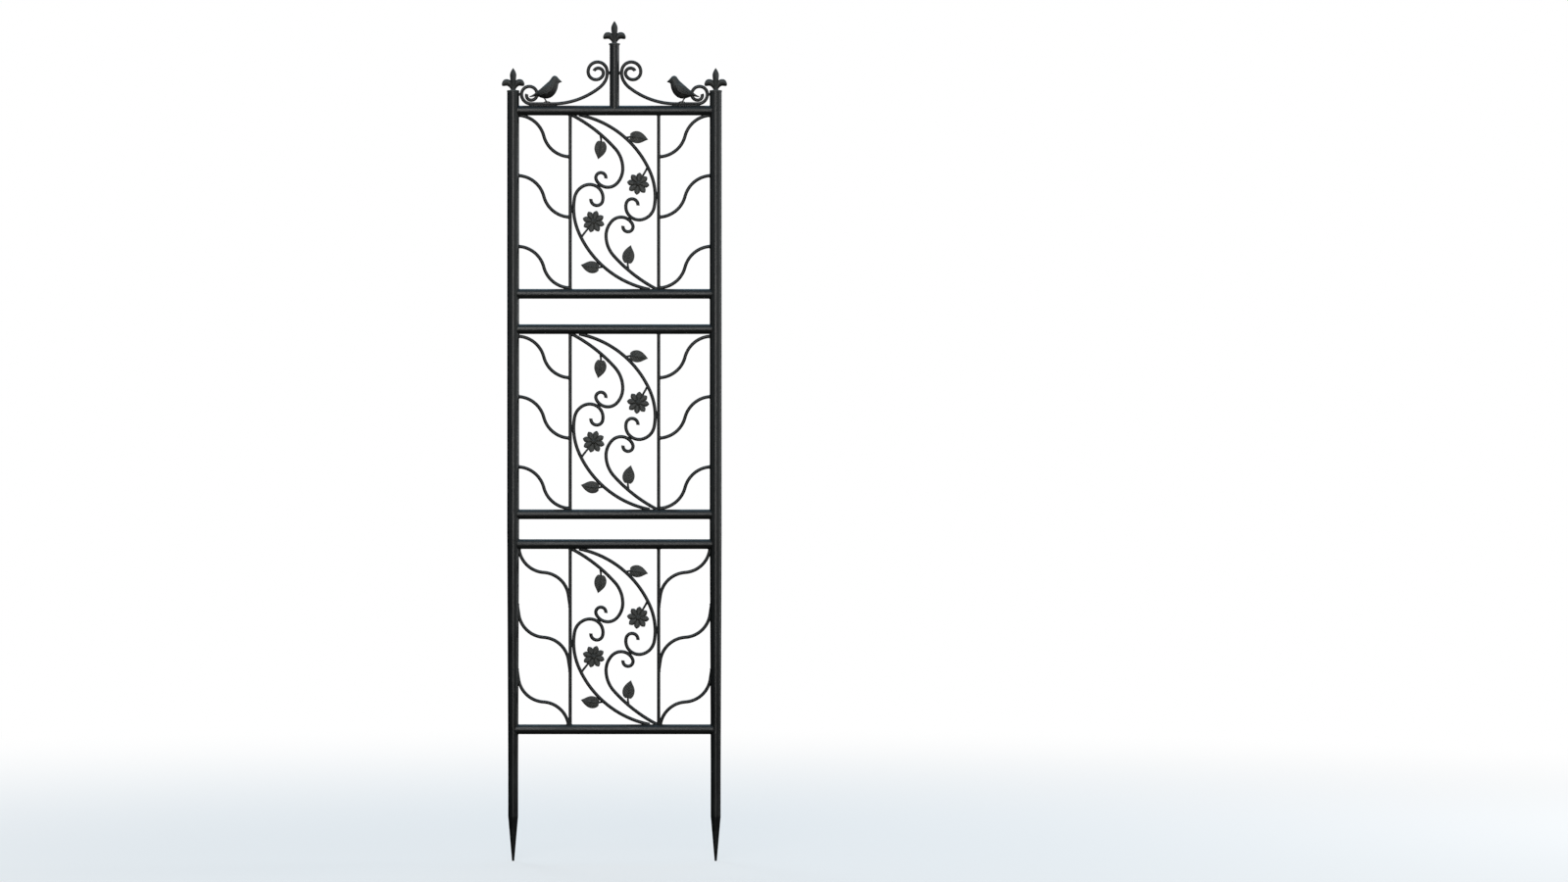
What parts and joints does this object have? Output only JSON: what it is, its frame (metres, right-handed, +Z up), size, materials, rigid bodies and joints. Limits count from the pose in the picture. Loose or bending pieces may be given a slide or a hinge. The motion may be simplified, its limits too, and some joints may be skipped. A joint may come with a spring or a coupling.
{
  "type": "garden trellis panel",
  "caption": "Flat stake-in garden trellis in three plug-together sections of tube and scrolled rod, with leaves, flowers, perched birds and spear finials on a scrolled crest.",
  "frame": {"origin": "midway between the two stake tips, at the level of the tips", "axes": "+Z up along the uprights, -Y towards the viewer of the front, +X to the right as seen from the front"},
  "size_m": [0.492, 0.0274, 1.8325],
  "materials": {
    "tube": "satin black powder coat",
    "rod": "satin black powder coat",
    "leaf": "satin charcoal powder coat on pressed sheet",
    "casting": "satin charcoal powder coat on cast metal"
  },
  "bodies": {
    "lower_section": {"lower_left_upright": "tube", "lower_left_inner_rod": "rod", "lower_left_wave_rods": "rod", "lower_left_long_scroll": "rod", "lower_left_short_scroll": "rod", "lower_left_flower": "casting", "lower_right_upright": "tube", "lower_right_inner_rod": "rod", "lower_right_wave_rods": "rod", "lower_right_long_scroll": "rod", "lower_right_short_scroll": "rod", "lower_right_flower": "casting", "lower_bottom_rail": "tube", "lower_top_rail": "tube", "lower_long_scroll_leaves": "leaf", "lower_short_scroll_leaves": "leaf"},
    "middle_section": {"middle_left_upright": "tube", "middle_left_inner_rod": "rod", "middle_left_wave_rods": "rod", "middle_left_long_scroll": "rod", "middle_left_short_scroll": "rod", "middle_left_flower": "casting", "middle_right_upright": "tube", "middle_right_inner_rod": "rod", "middle_right_wave_rods": "rod", "middle_right_long_scroll": "rod", "middle_right_short_scroll": "rod", "middle_right_flower": "casting", "middle_bottom_rail": "tube", "middle_top_rail": "tube", "middle_long_scroll_leaves": "leaf", "middle_short_scroll_leaves": "leaf"},
    "upper_section": {"upper_left_upright": "tube", "upper_left_inner_rod": "rod", "upper_left_wave_rods": "rod", "upper_left_long_scroll": "rod", "upper_left_short_scroll": "rod", "upper_left_flower": "casting", "upper_right_upright": "tube", "upper_right_inner_rod": "rod", "upper_right_wave_rods": "rod", "upper_right_long_scroll": "rod", "upper_right_short_scroll": "rod", "upper_right_flower": "casting", "upper_bottom_rail": "tube", "upper_top_rail": "tube", "upper_long_scroll_leaves": "leaf", "upper_short_scroll_leaves": "leaf", "crest_post": "tube", "crest_left_scroll": "rod", "crest_right_scroll": "rod", "left_bird": "casting", "right_bird": "casting", "left_finial": "casting", "right_finial": "casting", "crest_finial": "casting"}
  },
  "joints": [
    {"name": "middle_lift", "type": "slide", "parent": "lower_section", "child": "middle_section", "axis": [0, 0, 1], "range_m": [0, 0.055]},
    {"name": "upper_lift", "type": "slide", "parent": "middle_section", "child": "upper_section", "axis": [0, 0, 1], "range_m": [0, 0.055]}
  ]
}
